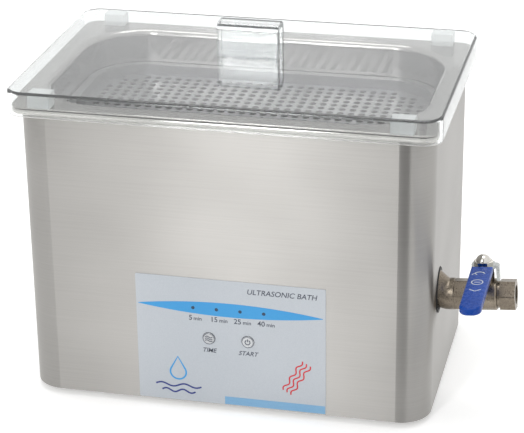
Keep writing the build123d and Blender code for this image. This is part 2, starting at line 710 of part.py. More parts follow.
def make_heater_pad():
    wall = LOW_D / 2 + TANK_T
    low = Z_TANK_FLOOR + FLOOR_R + HEATER_UP
    return block(around(0, HEATER_W / 2), (wall, wall + HEATER_T), (low, low + HEATER_H))


def make_thermostat():
    wall = (-(LOW_W / 2 + TANK_T), 0, Z_TANK_FLOOR + FLOOR_R + THERMOSTAT_UP)
    disc = rod(wall, -RIGHT, THERMOSTAT_R, THERMOSTAT_H)
    tabs = block(
        (wall[0] - THERMOSTAT_H - TAG_L, wall[0] - THERMOSTAT_H), around(0, TAG_W / 2),
        around(wall[2], TAG_T / 2))
    return disc + tabs


# ---------------------------------------------------------------- driver electronics
Z_DRIVER = Z_PLATE + SPACER_H
Z_PARTS = Z_DRIVER + BOARD_T


def make_driver_board():
    return block(
        around(DRIVER_X, DRIVER_W / 2), around(DRIVER_Y, DRIVER_D / 2), (Z_DRIVER, Z_PARTS))


def make_board_spacers():
    return Part() + [rod((x, y, Z_PLATE), UP, SPACER_R, SPACER_H) for x, y in SPACERS]


def make_transformer():
    x, y = DRIVER_X + CORE_PLACE[0], DRIVER_Y + CORE_PLACE[1]
    core = block(around(x, CORE_W / 2), around(y, CORE_D / 2), (Z_PARTS, Z_PARTS + CORE_H))
    return core + block(
        around(x, COIL_W / 2), around(y, COIL_D / 2),
        (Z_PARTS + COIL_INSET, Z_PARTS + CORE_H - COIL_INSET))


def make_heat_sink():
    low_y = DRIVER_Y + SINK_Y
    z_span = (Z_PARTS, Z_PARTS + SINK_H)
    foot = block(around(DRIVER_X + SINK_X, SINK_W / 2), (low_y, low_y + SINK_T), z_span)
    fins = [
        block(around(x, FIN_T / 2), (low_y, low_y + SINK_D), z_span)
        for x in row(FIN_COUNT, FIN_PITCH, DRIVER_X + SINK_X)
    ]
    return foot + fins


def make_transistors():
    back = DRIVER_Y + SINK_Y
    low = Z_PARTS + CHIP_UP
    return Part() + [
        block(around(x, CHIP_W / 2), (back - CHIP_T, back), (low, low + CHIP_H))
        for x in row(2, CHIP_PITCH, DRIVER_X + SINK_X)
    ]


def make_capacitors():
    return Part() + [
        rod((x, DRIVER_Y + CAN_Y, Z_PARTS), UP, CAN_R, CAN_H)
        for x in row(2, CAN_PITCH, DRIVER_X + CAN_X)
    ]


# ---------------------------------------------------------------- drain and valve
def elbow_path(start_x):
    """Centre line: sloping leg, bend, short run to the valve."""
    start = leg_point(start_x)
    return FilletPolyline([start, ELBOW_CORNER, JOINT], radius=ELBOW_BEND_R)


def make_street_elbow():
    inner_x = SIDE - SHEET - STUB_IN
    face = Plane(origin=leg_point(inner_x), z_dir=-LEG_AXIS)
    path = elbow_path(inner_x)
    elbow = sweep(face * Circle(ELBOW_R), path)
    elbow = fillet(elbow.edges().sort_by(Axis.X)[-1], ELBOW_EDGE_R)
    elbow += rod(leg_point(inner_x), LEG_AXIS, THREAD_R, STUB_THREAD_L - THREAD_SHORT)
    elbow -= sweep(face * Circle(ELBOW_BORE_R), path)
    elbow -= rod(leg_point(inner_x), LEG_AXIS, ELBOW_BORE_R, STUB_THREAD_L)
    return elbow - rod(JOINT, -VALVE_AXIS, THREAD_R + THREAD_FIT, THREAD_L)


def make_drain_grommet():
    far = leg_point(SIDE + ELBOW_R)
    length = 3 * ELBOW_R
    ring = rod(far, LEG_AXIS, ELBOW_R + HOLE_FIT, length) - rod(far, LEG_AXIS, ELBOW_R, length)
    thick = (SIDE - SHEET - GROMMET_IN, SIDE + GROMMET_OUT)
    return ring & block(thick, (FRONT, BACK), (Z_EDGE, Z_BEAD))


def lathe_x(start, length, radius):
    """Round length of the valve, along its own axis."""
    return rod((start, 0, 0), RIGHT, radius, length)


INSERT_X = VALVE_L - HEX_B_L - NECK_L           # where the screwed-in end starts
CAVITY_X = BALL_X - BALL_R - SEAT_BACK


def make_valve_body():
    body = hexagon_bar((0, 0, 0), RIGHT, HEX_AF, HEX_A_L, HEX_TURN)
    body &= lathe_x(0, HEX_A_L, HEX_AF * CORNER_CUT)
    barrel = lathe_x(HEX_A_L, INSERT_X - HEX_A_L, VALVE_R)
    body += fillet(barrel.edges(), BARREL_EDGE_R)
    body += lathe_x(THREAD_SHORT - THREAD_L, THREAD_L, THREAD_R)
    body += rod((BALL_X, 0, 0), UP, BOSS_R, BOSS_UP)
    body -= lathe_x(-THREAD_L, VALVE_L, WAY_R)
    body -= lathe_x(CAVITY_X, VALVE_L, SEAT_R)
    return body - rod((BALL_X, 0, 0), UP, STEM_ROD_R + STEM_FIT, BOSS_UP + PAST)


def make_valve_end():
    hexagon = hexagon_bar((INSERT_X + NECK_L, 0, 0), RIGHT, HEX_AF, HEX_B_L, HEX_TURN)
    end = hexagon & lathe_x(INSERT_X, NECK_L + HEX_B_L, HEX_AF * CORNER_CUT)
    end += lathe_x(INSERT_X, NECK_L, NECK_R)
    seat_end = BALL_X + BALL_R + SEAT_BACK
    end += lathe_x(seat_end, INSERT_X - seat_end, SEAT_R)
    end -= lathe_x(seat_end - PAST, VALVE_L, WAY_R)
    return end - rod((VALVE_L, 0, 0), -RIGHT, TAP_R, TAP_L)


def make_ball_seats():
    """Two rings whose inner corner is hollowed to the ball."""
    ball = Circle(BALL_R + BALL_FIT)
    seats = []
    for low, high in ((-BALL_R - SEAT_BACK, SEAT_T - BALL_R - SEAT_BACK),
                      (BALL_R + SEAT_BACK - SEAT_T, BALL_R + SEAT_BACK)):
        middle = ((low + high) / 2, (WAY_R + SEAT_R) / 2)
        outline = Pos(*middle) * Rectangle(high - low, SEAT_R - WAY_R) - ball
        seats.append(Pos(BALL_X, 0, 0) * revolve(outline, Axis.X))
    return Part() + seats


def make_valve_ball():
    # Closed: the ball's own way lies across the valve.
    ball = Pos(BALL_X, 0, 0) * Sphere(BALL_R)
    ball -= rod((BALL_X, -BALL_R, 0), REARWARD, WAY_R, 2 * BALL_R)
    return ball - block(
        around(BALL_X, BLADE_T / 2 + SLOT_FIT), (-BALL_R, BALL_R), (BALL_R - SLOT_DEEP, BALL_R))


def make_valve_stem():
    foot = BALL_R + STEM_FOOT
    stem = rod((BALL_X, 0, foot), UP, STEM_ROD_R, LEVER_UP + LEVER_T + STEM_UP - foot)
    blade = block(
        around(BALL_X, BLADE_T / 2), around(0, BLADE_W / 2), (BALL_R - BLADE_DEEP, foot + BLADE_T / 2))
    return stem + blade


def make_gland_nut():
    nut = hexagon_bar((BALL_X, 0, BOSS_UP), UP, GLAND_AF, GLAND_H)
    return nut - rod((BALL_X, 0, BOSS_UP), UP, STEM_ROD_R + STEM_FIT, GLAND_H)


def make_lever_arm():
    low, high = LEVER_UP, LEVER_UP + LEVER_T
    hub = rod((BALL_X, 0, low), UP, HUB_R, LEVER_T)
    arm = block(around(BALL_X, LEVER_W / 2), (-LEVER_L + LEVER_W, 0), (low, high))
    tip = rod((BALL_X, -LEVER_L + LEVER_W, low), UP, LEVER_W / 2, LEVER_T)
    tab = block((BALL_X, BALL_X + TAB_REACH), around(0, TAB_W / 2), (low, high))
    drop = block(
        (BALL_X + TAB_REACH - LEVER_T, BALL_X + TAB_REACH), around(0, TAB_W / 2), (VALVE_R + TAB_CLEAR, high))
    bent = fillet((tab + drop).edges().filter_by(Axis.Y).sort_by(Axis.Z)[-1], LEVER_T)
    return hub + arm + tip + bent - rod((BALL_X, 0, low), UP, STEM_ROD_R, LEVER_T)


def make_lever_sleeve():
    middle = LEVER_UP + LEVER_T / 2
    near, far = -SLEEVE_START, -LEVER_L
    outline = Pos(BALL_X, (near + far) / 2) * Rectangle(SLEEVE_W, near - far)
    outline = fillet(outline.vertices().group_by(Axis.Y)[0], SLEEVE_W * SLEEVE_TIP)
    sleeve = Pos(0, 0, middle - SLEEVE_T / 2) * extrude(outline, SLEEVE_T)
    sleeve = fillet(sleeve.edges().filter_by(Plane.XY), SLEEVE_EDGE_R)
    return sleeve - make_lever_arm() - rod((BALL_X, 0, 0), UP, HUB_R, 2 * LEVER_UP)


def make_lever_nut():
    low = LEVER_UP + LEVER_T
    top = low + NUT_H
    nut = hexagon_bar((BALL_X, 0, low), UP, 2 * NUT_R * NUT_FLAT, NUT_H)
    dome = Pos(BALL_X, 0, top - DOME_SINK) * Sphere(DOME_R)
    nut += dome & rod((BALL_X, 0, top - DOME_SINK / 2), UP, NUT_R, NUT_R)
    return nut - rod((BALL_X, 0, low), UP, STEM_ROD_R, STEM_UP)


# ---------------------------------------------------------------- mains inlet and switch
def make_inlet_body():
    flange_plane = Plane(origin=(INLET_X, BACK, Z_INLET), x_dir=(-1, 0, 0), z_dir=(0, 1, 0))
    flange = extrude(flange_plane * RectangleRounded(INLET_FLANGE_W, INLET_FLANGE_H, INLET_CORNER_R), INLET_FLANGE_T)
    flange = fillet(flange.faces().sort_by(Axis.Y)[-1].edges(), INLET_EDGE_R)
    body = flange + block(
        around(INLET_X, INLET_W / 2), (BACK - INLET_DEEP, BACK), around(Z_INLET, INLET_H / 2))
    mouth = BACK + INLET_FLANGE_T
    body -= block(
        around(INLET_X, SOCKET_W / 2), (mouth - SOCKET_DEEP, mouth),
        around(Z_INLET + SOCKET_UP, SOCKET_H / 2))
    body -= block(
        around(INLET_X, DRAWER_W / 2 + DRAWER_FIT), (mouth - DRAWER_L - PAST, mouth),
        around(Z_INLET - DRAWER_DOWN, DRAWER_H / 2 + DRAWER_FIT))
    holes = [
        rod((x, BACK - PAST, Z_INLET), REARWARD, SCREW_R + SCREW_FIT, INLET_FLANGE_T + 2 * PAST)
        for x in around(INLET_X, (INLET_W + INLET_FLANGE_W) / 4)
    ]
    return body - holes


def make_inlet_pins():
    root = BACK + INLET_FLANGE_T - SOCKET_DEEP
    z_low, z_high = around(Z_INLET + SOCKET_UP, PIN_STEP)
    places = [(x, z_low) for x in around(INLET_X, PIN_SPREAD)] + [(INLET_X, z_high)]
    pins = [block(around(x, PIN_W / 2), (root, root + PIN_L), around(z, PIN_H / 2)) for x, z in places]
    return Part() + pins


def make_inlet_screws():
    start = BACK + INLET_FLANGE_T + SCREW_HEAD_H
    return Part() + [
        screw(Vector(x, start, Z_INLET), -REARWARD, SCREW_L)
        for x in around(INLET_X, (INLET_W + INLET_FLANGE_W) / 4)
    ]


def make_fuse_drawer():
    mouth = BACK + INLET_FLANGE_T
    z = Z_INLET - DRAWER_DOWN
    face = block(
        around(INLET_X, DRAWER_FACE_W / 2), (mouth + GAP, mouth + DRAWER_FACE_T),
        around(z, DRAWER_FACE_H / 2))
    face = fillet(face.edges().group_by(Axis.Y)[-1], DRAWER_EDGE_R)
    body = block(
        around(INLET_X, DRAWER_W / 2), (mouth - DRAWER_L, mouth + DRAWER_FACE_T / 2),
        around(z, DRAWER_H / 2))
    bay = block(
        around(INLET_X, FUSE_R + BAY_FIT), (mouth - DRAWER_L + BAY_END, mouth - BAY_END),
        (z - FUSE_R - BAY_FIT / 2, z + DRAWER_H))
    return face + body - bay


def make_fuse_link():
    start = (INLET_X, BACK + INLET_FLANGE_T - DRAWER_L + 1.5 * BAY_END, Z_INLET - DRAWER_DOWN)
    return rod(start, REARWARD, FUSE_R, FUSE_L)


PIVOT_Y = BACK - PIVOT_IN


def make_switch_bezel():
    grown = 2 * SWITCH_FLANGE
    plane = Plane(origin=(SWITCH_X, BACK, Z_INLET), x_dir=(-1, 0, 0), z_dir=(0, 1, 0))
    flange = extrude(plane * RectangleRounded(SWITCH_W + grown, SWITCH_H + grown, SWITCH_CORNER_R), SWITCH_FLANGE_T)
    flange = fillet(flange.faces().sort_by(Axis.Y)[-1].edges(), SWITCH_EDGE_R)
    body = flange + block(
        around(SWITCH_X, SWITCH_W / 2), (BACK - SWITCH_DEEP, BACK), around(Z_INLET, SWITCH_H / 2))
    reach = ROCKER_R + ROCKER_FIT
    half = ROCKER_W / 2 + ROCKER_FIT
    body -= rod((SWITCH_X - half, PIVOT_Y, Z_INLET), RIGHT, reach, 2 * half)
    return body - block(around(SWITCH_X, half), (PIVOT_Y, PIVOT_Y + reach), around(Z_INLET, reach))


def make_switch_rocker():
    """Half-round drum whose face dips in the middle, tilted to its off position."""
    drum = Rot(0, 90, 0) * Cylinder(ROCKER_R, ROCKER_W)
    slope = math.tan(math.radians(ROCKER_DISH)) * 2 * ROCKER_R
    face = Polyline(
        (ROCKER_FACE, 0), (ROCKER_FACE + slope, 2 * ROCKER_R), (4 * ROCKER_R, 2 * ROCKER_R),
        (4 * ROCKER_R, -2 * ROCKER_R), (ROCKER_FACE + slope, -2 * ROCKER_R), (ROCKER_FACE, 0))
    plane = Plane(origin=(0, 0, 0), x_dir=(0, 1, 0), z_dir=(1, 0, 0))
    drum -= extrude(plane * make_face(face), ROCKER_W, both=True)
    drum -= block((-ROCKER_W, ROCKER_W), (-2 * ROCKER_R, -ROCKER_BACK), (-2 * ROCKER_R, 2 * ROCKER_R))
    return Pos(SWITCH_X, PIVOT_Y, Z_INLET) * Rot(-ROCKER_TILT, 0, 0) * drum


# ---------------------------------------------------------------- every piece by name
NODES = {
    "housing_shell": make_housing_shell,
    "base_plate": make_base_plate,
    "rubber_feet": make_rubber_feet,
    "foot_screws": make_foot_screws,
    "base_screws": make_base_screws,
    "rim_seal": make_rim_seal,
    "tank": make_tank,
    "drain_stub": make_drain_stub,
    "basket_frame": make_basket_frame,
    "basket_floor": make_basket_floor,
    "lid": make_lid,
    "lid_rails": make_lid_rails,
    "lid_handle": make_lid_handle,
    "panel_overlay": make_panel_overlay,
    "key_switches": make_key_switches,
    "indicator_leds": make_indicator_leds,
    "control_board": make_control_board,
    "board_studs": make_board_studs,
    "transducer_heads": make_transducer_heads,
    "piezo_rings": make_piezo_rings,
    "transducer_tails": make_transducer_tails,
    "transducer_bolts": make_transducer_bolts,
    "heater_pad": make_heater_pad,
    "thermostat": make_thermostat,
    "driver_board": make_driver_board,
    "board_spacers": make_board_spacers,
    "transformer": make_transformer,
    "heat_sink": make_heat_sink,
    "transistors": make_transistors,
    "capacitors": make_capacitors,
    "street_elbow": make_street_elbow,
    "drain_grommet": make_drain_grommet,
    "inlet_body": make_inlet_body,
    "inlet_pins": make_inlet_pins,
    "inlet_screws": make_inlet_screws,
    "fuse_drawer": make_fuse_drawer,
    "fuse_link": make_fuse_link,
    "switch_bezel": make_switch_bezel,
    "switch_rocker": make_switch_rocker,
}
VALVE_NODES = {
    "valve_body": make_valve_body,
    "valve_end": make_valve_end,
    "ball_seats": make_ball_seats,
    "valve_ball": make_valve_ball,
    "valve_stem": make_valve_stem,
    "gland_nut": make_gland_nut,
    "lever_arm": make_lever_arm,
    "lever_sleeve": make_lever_sleeve,
    "lever_nut": make_lever_nut,
}

os.makedirs("parts", exist_ok=True)
for name, make in NODES.items():
    export_step(make(), f"parts/{name}.step")
for name, make in VALVE_NODES.items():
    export_step(VALVE * make(), f"parts/{name}.step")
for name, x in BUTTONS.items():
    export_step(make_button(x), f"parts/{name}.step")
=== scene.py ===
"""Ultrasonic cleaner: finishes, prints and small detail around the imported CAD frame.

The steel box, tank, lid, drain valve and rear fittings come from the frame. This file gives
each of them its material, and adds a polished skin on the rolled rim, the printing on the front
panel and the buttons, and the marks on the valve lever's grip.

Lengths are in millimetres, and MM turns them into metres. Only lamps and camera are in metres.
"""

import math

import bmesh
import bpy
import numpy as np
from bpy.props import FloatProperty, FloatVectorProperty, PointerProperty
from mathutils import Matrix, Vector


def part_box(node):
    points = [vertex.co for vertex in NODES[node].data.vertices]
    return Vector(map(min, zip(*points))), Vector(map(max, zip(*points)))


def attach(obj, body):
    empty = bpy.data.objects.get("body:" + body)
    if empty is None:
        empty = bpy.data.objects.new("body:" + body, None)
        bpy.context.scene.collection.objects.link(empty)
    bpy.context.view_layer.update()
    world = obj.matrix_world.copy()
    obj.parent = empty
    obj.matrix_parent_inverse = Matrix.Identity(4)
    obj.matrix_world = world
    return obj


bl_info = {
    "name": "Ultrasonic Cleaner",
    "version": (1, 0, 0),
    "blender": (4, 5, 0),
    "location": "3D View > Sidebar > Cleaner",
    "description": "Finishes and detail for a stainless benchtop ultrasonic cleaner",
    "category": "Add Mesh",
}

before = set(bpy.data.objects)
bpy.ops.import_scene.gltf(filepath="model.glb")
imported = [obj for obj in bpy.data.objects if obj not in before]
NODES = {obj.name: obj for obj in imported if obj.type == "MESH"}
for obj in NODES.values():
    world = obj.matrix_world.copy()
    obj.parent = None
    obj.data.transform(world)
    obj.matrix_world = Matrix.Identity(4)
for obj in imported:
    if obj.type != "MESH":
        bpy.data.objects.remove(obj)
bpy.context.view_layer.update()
MM = 0.001

PANEL_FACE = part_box("panel_overlay")[0].y / MM
BUTTON_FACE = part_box("time_button")[0].y / MM
PRINT_LIFT = 0.05  # ink stands this far off its surface, so that the two never share a plane
INK_THICK = 0.03
WELD = 1e-7  # metres; printed points nearer than this are one point

# Printing on the front panel: X runs to the right and Z up, from the middle of the bench line.
BAND_X, BAND_Z, BAND_BULGE = (-56.0, 65.4), 71.9, 4.75  # ends, middle, half height
BAR_X, BAR_Z = (0.4, 65.5), (5.1, 10.6)
TIMES = (("5", -19.1), ("15", -3.9), ("25", 11.3), ("40", 26.5))  # minutes, X of their lamp
TIMES_SIZE, TIMES_SHIFT, TIMES_Z = 4.9, -1.7, 64.5
UNIT_SIZE, UNIT_SHIFT, UNIT_Z, DIGIT_W = 3.7, 1.4, 64.2, 1.5  # "min" moves right for each digit
TIME_X, START_X, BUTTON_Z = -9.2, 16.0, 51.1
LABEL_SIZE, LABEL_Z, LABEL_LEAN = 4.2, 42.6, 0.25
TITLE = ("ULTRASONIC BATH", 5.0, 38.0, 85.9, 0.2, 0.03)  # as each line that letters() takes
REGULAR, BOLD = 0.04, 0.05  # how far letters are fattened
DROP_X, DROP_Z, DROP_R, DROP_TIP = -30.0, 25.0, 5.2, 36.0
RIPPLES = ((15.0, 15.4), (11.0, 11.4))  # half length, Z
RIPPLE_H, EMBLEM_STROKE = 1.1, 1.1
HEAT_FEET, HEAT_RUN = ((38.5, 19.5), (41.0, 18.0), (43.5, 16.5)), (12.5, 21.5)
HEAT_H, HEAT_STROKE = 1.0, 0.9
RING_R, RING_STROKE = 3.6, 0.35
TICK_HALF, TICK_H, TICK_STROKE, TICK_GAP = 2.4, 0.5, 0.55, 1.3  # waves on the time button
POWER_R, POWER_STROKE, POWER_BAR = 1.6, 0.6, (0.2, 2.2)  # open ring and bar on the start button

# The rolled rim: corner in plan, rounding of its edges, underside, and how proud its skin stands.
BEAD_CORNER, BEAD_EDGE, BEAD_LOW, BEAD_SKIN = 9.5, 1.7, 194.0, 0.06
BEAD_THICK = 0.6 * BEAD_SKIN

VALVE_TILT = math.radians(4.6)
STEM_POINT = np.array((159.14, -40.0, 78.88))  # where the stem's axis crosses the valve's
GRIP_TOP = 22.2  # top of the grip above the valve's axis
BADGE_Y, BADGE_R, BADGE_STROKE = -30.0, 3.4, 0.7  # ring with a bar across it, on the grip
MARK_STROKE = 0.8

ACRYLIC_IOR = 1.49

FLOOR_REACH, FLOOR_GLOW = 4000.0, 0.35
SOFTBOX_AIM = (0.0, 0.0, 0.1)
CAMERA_PLACE = (0.28297, -1.15458, 0.62597)
CAMERA_TURN = (13.45, 23.85, -0.82)  # yaw left, pitch down and roll, in degrees
CAMERA_LENS, CAMERA_SENSOR = 136.15, 36.0


# ---------------------------------------------------------------- colours, nodes, materials


def linear(code):
    """Linear RGBA of an sRGB hex colour: each channel over 12.92 near black, else the 2.4 power."""
    channels = [int(code[i : i + 2], 16) / 255 for i in (1, 3, 5)]
    return [c / 12.92 if c <= 0.04045 else ((c + 0.055) / 1.055) ** 2.4 for c in channels] + [1.0]


def put(tree, kind, inputs=None, **settings):
    """Adds one node, sets its own settings, and sets or links each of its inputs."""
    made = tree.nodes.new(kind)
    for name, value in settings.items():
        setattr(made, name, value)
    for name, value in (inputs or {}).items():
        if isinstance(value, bpy.types.NodeSocket):
            tree.links.new(value, made.inputs[name])
        else:
            made.inputs[name].default_value = value
    return made


def begin(name):
    """A new material with an empty tree, its tree, and Object coordinates."""
    made = bpy.data.materials.new(name)
    made.use_nodes = True
    made.node_tree.nodes.clear()
    where = put(made.node_tree, "ShaderNodeTexCoord").outputs["Object"]
    return made, made.node_tree, where


def speckle(tree, where, size_mm, detail=2.0):
    """Noise whose blotches are size_mm long: one number, or one for each axis."""
    sizes = size_mm if isinstance(size_mm, tuple) else (size_mm,) * 3
    scaled = put(
        tree, "ShaderNodeMapping", {"Vector": where, "Scale": [1 / (s * MM) for s in sizes]}
    )
    return put(
        tree,
        "ShaderNodeTexNoise",
        {"Vector": scaled.outputs["Vector"], "Scale": 1.0, "Detail": detail},
    ).outputs["Fac"]


def spread(tree, value, low, high, start=0.3, end=0.7):
    """A value between start and end, stretched to run from low to high."""
    return put(
        tree,
        "ShaderNodeMapRange",
        {"Value": value, "From Min": start, "From Max": end, "To Min": low, "To Max": high},
    ).outputs["Result"]


def blend(tree, amount, first, second):
    """Colour that goes from first to second as amount goes from 0 to 1."""
    return put(
        tree, "ShaderNodeMix", {0: amount, 6: first, 7: second}, data_type="RGBA"
    ).outputs[2]


def sees_white(tree):
    """1 for the rays that should find a white background: camera, glossy and transmission."""
    rays = put(tree, "ShaderNodeLightPath").outputs
    seen = rays["Is Camera Ray"]
    for kind in ("Is Glossy Ray", "Is Transmission Ray"):
        pair = {0: seen, 1: rays[kind]}
        seen = put(tree, "ShaderNodeMath", pair, operation="MAXIMUM").outputs[0]
    return seen


def tone(colour):
    """Linear RGBA of a hex colour, or of a setting, which is linear already."""
    return linear(colour) if isinstance(colour, str) else [*colour, 1.0]


def surface(
    name, pale, dark, grain_mm, rough, bump_mm, cloud_mm=60.0, radial=False, **sockets
):
    """A finish with fine grain over slow clouds.

    Grain is noise as long as grain_mm on each axis, and clouds are noise cloud_mm wide. The
    colour goes from dark to pale with half of each, roughness follows the grain, and the
    grain's height is bump_mm.
    """
    made, tree, where = begin(name)
    grain = speckle(tree, where, grain_mm, 3.0)
    clouds = speckle(tree, where, cloud_mm, 1.0)
    both = put(tree, "ShaderNodeMath", {0: grain, 1: clouds}, operation="ADD").outputs[0]
    colour = blend(tree, spread(tree, both, 0.0, 1.0, 0.7, 1.3), tone(dark), tone(pale))
    bump = put(
        tree, "ShaderNodeBump", {"Height": grain, "Distance": bump_mm * MM, "Strength": 1.0}
    ).outputs["Normal"]
    inputs = {
        "Base Color": colour,
        "Roughness": spread(tree, grain, *rough),
        "Normal": bump,
    }
    if radial:
        inputs["Tangent"] = put(
            tree, "ShaderNodeTangent", direction_type="RADIAL", axis="Z"
        ).outputs["Tangent"]
    inputs.update({key.replace("_", " "): value for key, value in sockets.items()})
    body = put(tree, "ShaderNodeBsdfPrincipled", inputs)
    put(tree, "ShaderNodeOutputMaterial", {"Surface": body.outputs["BSDF"]})
    return made


def paint(made, *nodes):
    """Gives CAD nodes this material in place of their own."""
    for name in nodes:
        NODES[name].data.materials.clear()
        NODES[name].data.materials.append(made)


# ---------------------------------------------------------------- shapes


def grids_to_object(name, grids, made, around=False, smooth=True):
    """One object from grids of points in millimetres, each rows by columns by 3.

    Every cell between four neighbouring points is a quad. With around, the last column joins
    the first.
    """
    points, faces, start = [], [], 0
    for grid in grids:
        rows, columns = grid.shape[:2]
        index = np.arange(rows * columns).reshape(rows, columns) + start
        if around:
            index = np.hstack([index, index[:, :1]])
        cells = np.stack([index[:-1, :-1], index[:-1, 1:], index[1:, 1:], index[1:, :-1]], -1)
        faces.append(cells.reshape(-1, 4))
        points.append(grid.reshape(-1, 3) * MM)
        start += rows * columns
    mesh = bpy.data.meshes.new(name)
    mesh.from_pydata(np.vstack(points).tolist(), [], np.vstack(faces).tolist())
    mesh.polygons.foreach_set("use_smooth", np.full(len(mesh.polygons), smooth))
    mesh.materials.append(made)
    thing = bpy.data.objects.new(name, mesh)
    bpy.context.scene.collection.objects.link(thing)
    return thing


def ribbon(path, width, closed=False):
    """A flat stroke as a 2-row grid: each point of the path, moved half the width to either
    side along the line square to the path there."""
    path = np.asarray(path, float)
    if closed:
        run = np.roll(path, -1, 0) - np.roll(path, 1, 0)
    else:
        run = np.gradient(path, axis=0)
    side = np.stack([-run[:, 1], run[:, 0]], 1)
    side *= 0.5 * width / np.linalg.norm(side, axis=1, keepdims=True)
    both = np.stack([path - side, path + side])
    return np.concatenate([both, both[:, :1]], 1) if closed else both


def stand_up(flat, y):
    """Puts a flat grid of (x, z) points on the plane at y, facing the front."""
    return np.stack([flat[..., 0], np.full(flat.shape[:2], y), flat[..., 1]], -1)


def bead_skin(x_span, y_span, corner, low, high, edge):
    """The skin of a rolled bead: a rounded rectangle in plan, carried up a side whose top and
    bottom edges are quarter circles. Each row moves the plan inward by as much as the quarter
    circle has come in at that height, and the whole stands BEAD_SKIN proud."""
    turn = np.radians(np.linspace(0, 90, 9))
    inward = np.concatenate([edge * (1 - np.sin(turn)), edge * (1 - np.cos(turn))])
    height = np.concatenate([low + edge * (1 - np.cos(turn)), high - edge * (1 - np.sin(turn))])
    corners = np.array(
        [
            (x_span[1] - corner, y_span[1] - corner, 0),
            (x_span[0] + corner, y_span[1] - corner, 90),
            (x_span[0] + corner, y_span[0] + corner, 180),
            (x_span[1] - corner, y_span[0] + corner, 270),
        ]
    )
    sweep = np.linspace(0, 90, 13)
    angle = np.radians(corners[:, 2:3] + sweep).ravel()
    middle = np.repeat(corners[:, :2], len(sweep), axis=0)
    reach = corner + BEAD_SKIN - inward[:, None]
    return np.stack(
        [
            middle[:, 0] + reach * np.cos(angle),
            middle[:, 1] + reach * np.sin(angle),
            np.repeat(height[:, None], len(angle), axis=1),
        ],
        -1,
    )


def arc(centre, radius, start, end, count=40):
    """Points on a circle from the start angle to the end angle, in degrees from +X."""
    turn = np.radians(np.linspace(start, end, count))
    return np.stack([centre[0] + radius * np.cos(turn), centre[1] + radius * np.sin(turn)], 1)


def wave(start, end, height, bends, count=48):
    """A sine line from start to end: the straight run, moved square to itself by height times
    the sine of bends half turns."""
    start, end = np.array(start, float), np.array(end, float)
    share = np.linspace(0, 1, count)[:, None]
    run = end - start
    side = np.array([-run[1], run[0]]) / np.linalg.norm(run)
    return start + run * share + side * height * np.sin(np.pi * bends * share)


def hoop(centre, radius, width):
    """A ring as a closed stroke along a whole circle."""
    return ribbon(arc(centre, radius, 0, 360, 64)[:-1], width, True)


def on_grip(flat):
    """Puts a flat grid of (x, y) points, measured from the stem, on the top of the lever's grip:
    raised to the grip's top, turned about Y by the valve's tilt, and moved to the stem."""
    up = GRIP_TOP + PRINT_LIFT
    cosine, sine = math.cos(VALVE_TILT), math.sin(VALVE_TILT)
    return STEM_POINT + np.stack(
        [flat[..., 0] * cosine - up * sine, flat[..., 1], flat[..., 0] * sine + up * cosine], -1
    )


def thicken(thing, thickness, offset=-1.0):
    """Gives thin faces a thickness, behind their front at offset -1 and before it at 1."""
    skin = thing.modifiers.new("skin", "SOLIDIFY")
    skin.thickness = thickness * MM
    skin.offset = offset
    return thing


def ink(name, flats, y, made, body):
    """Printed shapes as one thin film on the plane at y."""
    thing = grids_to_object(name, [stand_up(f, y - PRINT_LIFT) for f in flats], made, smooth=False)
    shell = bmesh.new()
    shell.from_mesh(thing.data)
    bmesh.ops.remove_doubles(shell, verts=shell.verts, dist=WELD)
    bmesh.ops.recalc_face_normals(shell, faces=shell.faces)
    wrong = [f for f in shell.faces if f.normal.y > 0]
    bmesh.ops.reverse_faces(shell, faces=wrong)
    shell.to_mesh(thing.data)
    shell.free()
    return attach(thicken(thing, INK_THICK), body)


def letters(name, lines, y, made, body):
    """Printed figures and letters as one thin film.

    Each line is its text, size, x, z, lean and weight.
    """
    sheet = bmesh.new()
    for text, size, x, z, lean, weight in lines:
        curve = bpy.data.curves.new(name, "FONT")
        curve.body = text
        curve.size = size
        curve.align_x, curve.align_y = "CENTER", "CENTER"
        curve.shear, curve.offset = lean, weight
        curve.resolution_u = 4
        writer = bpy.data.objects.new(name, curve)
        flat = bpy.data.meshes.new_from_object(writer)
        flat.transform(
            Matrix.Scale(MM, 4)
            @ Matrix.Translation((x, y - PRINT_LIFT, z))
            @ Matrix.Rotation(math.pi / 2, 4, "X")
        )
        sheet.from_mesh(flat)
        bpy.data.objects.remove(writer)
        bpy.data.curves.remove(curve)
        bpy.data.meshes.remove(flat)
    bmesh.ops.remove_doubles(sheet, verts=sheet.verts, dist=WELD)
    mesh = bpy.data.meshes.new(name)
    sheet.to_mesh(mesh)
    sheet.free()
    mesh.materials.append(made)
    thing = bpy.data.objects.new(name, mesh)
    bpy.context.scene.collection.objects.link(thing)
    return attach(thicken(thing, INK_THICK), body)


# ---------------------------------------------------------------- settings


class CleanerSteel(bpy.types.PropertyGroup):
    """Tones of the stainless sheet."""

    case_tone: FloatVectorProperty(
        name="Case",
        description="Pale tone of the brushed case",
        default=linear("#AFADAA")[:3],
        subtype="COLOR",
        size=3,
    )
    grain_height: FloatProperty(
        name="Grain height",
        description="Spacing of the brush lines, coarser than the real 0.2 mm so that they show",
        default=0.7 * MM,
        subtype="DISTANCE",
        unit="LENGTH",
    )


class CleanerColours(bpy.types.PropertyGroup):
    """Colours that differ between makes."""

    film: FloatVectorProperty(
        name="Panel film",
        description="Pale tone of the front panel",
        default=linear("#C8CDD3")[:3],
        subtype="COLOR",
        size=3,
    )
    band: FloatVectorProperty(
        name="Panel band",
        description="Colour of the band round the lamps",
        default=linear("#41A2E0")[:3],
        subtype="COLOR",
        size=3,
    )
    grip: FloatVectorProperty(
        name="Lever grip",
        description="Colour of the vinyl on the valve lever",
        default=linear("#0A45A2")[:3],
        subtype="COLOR",
        size=3,
    )


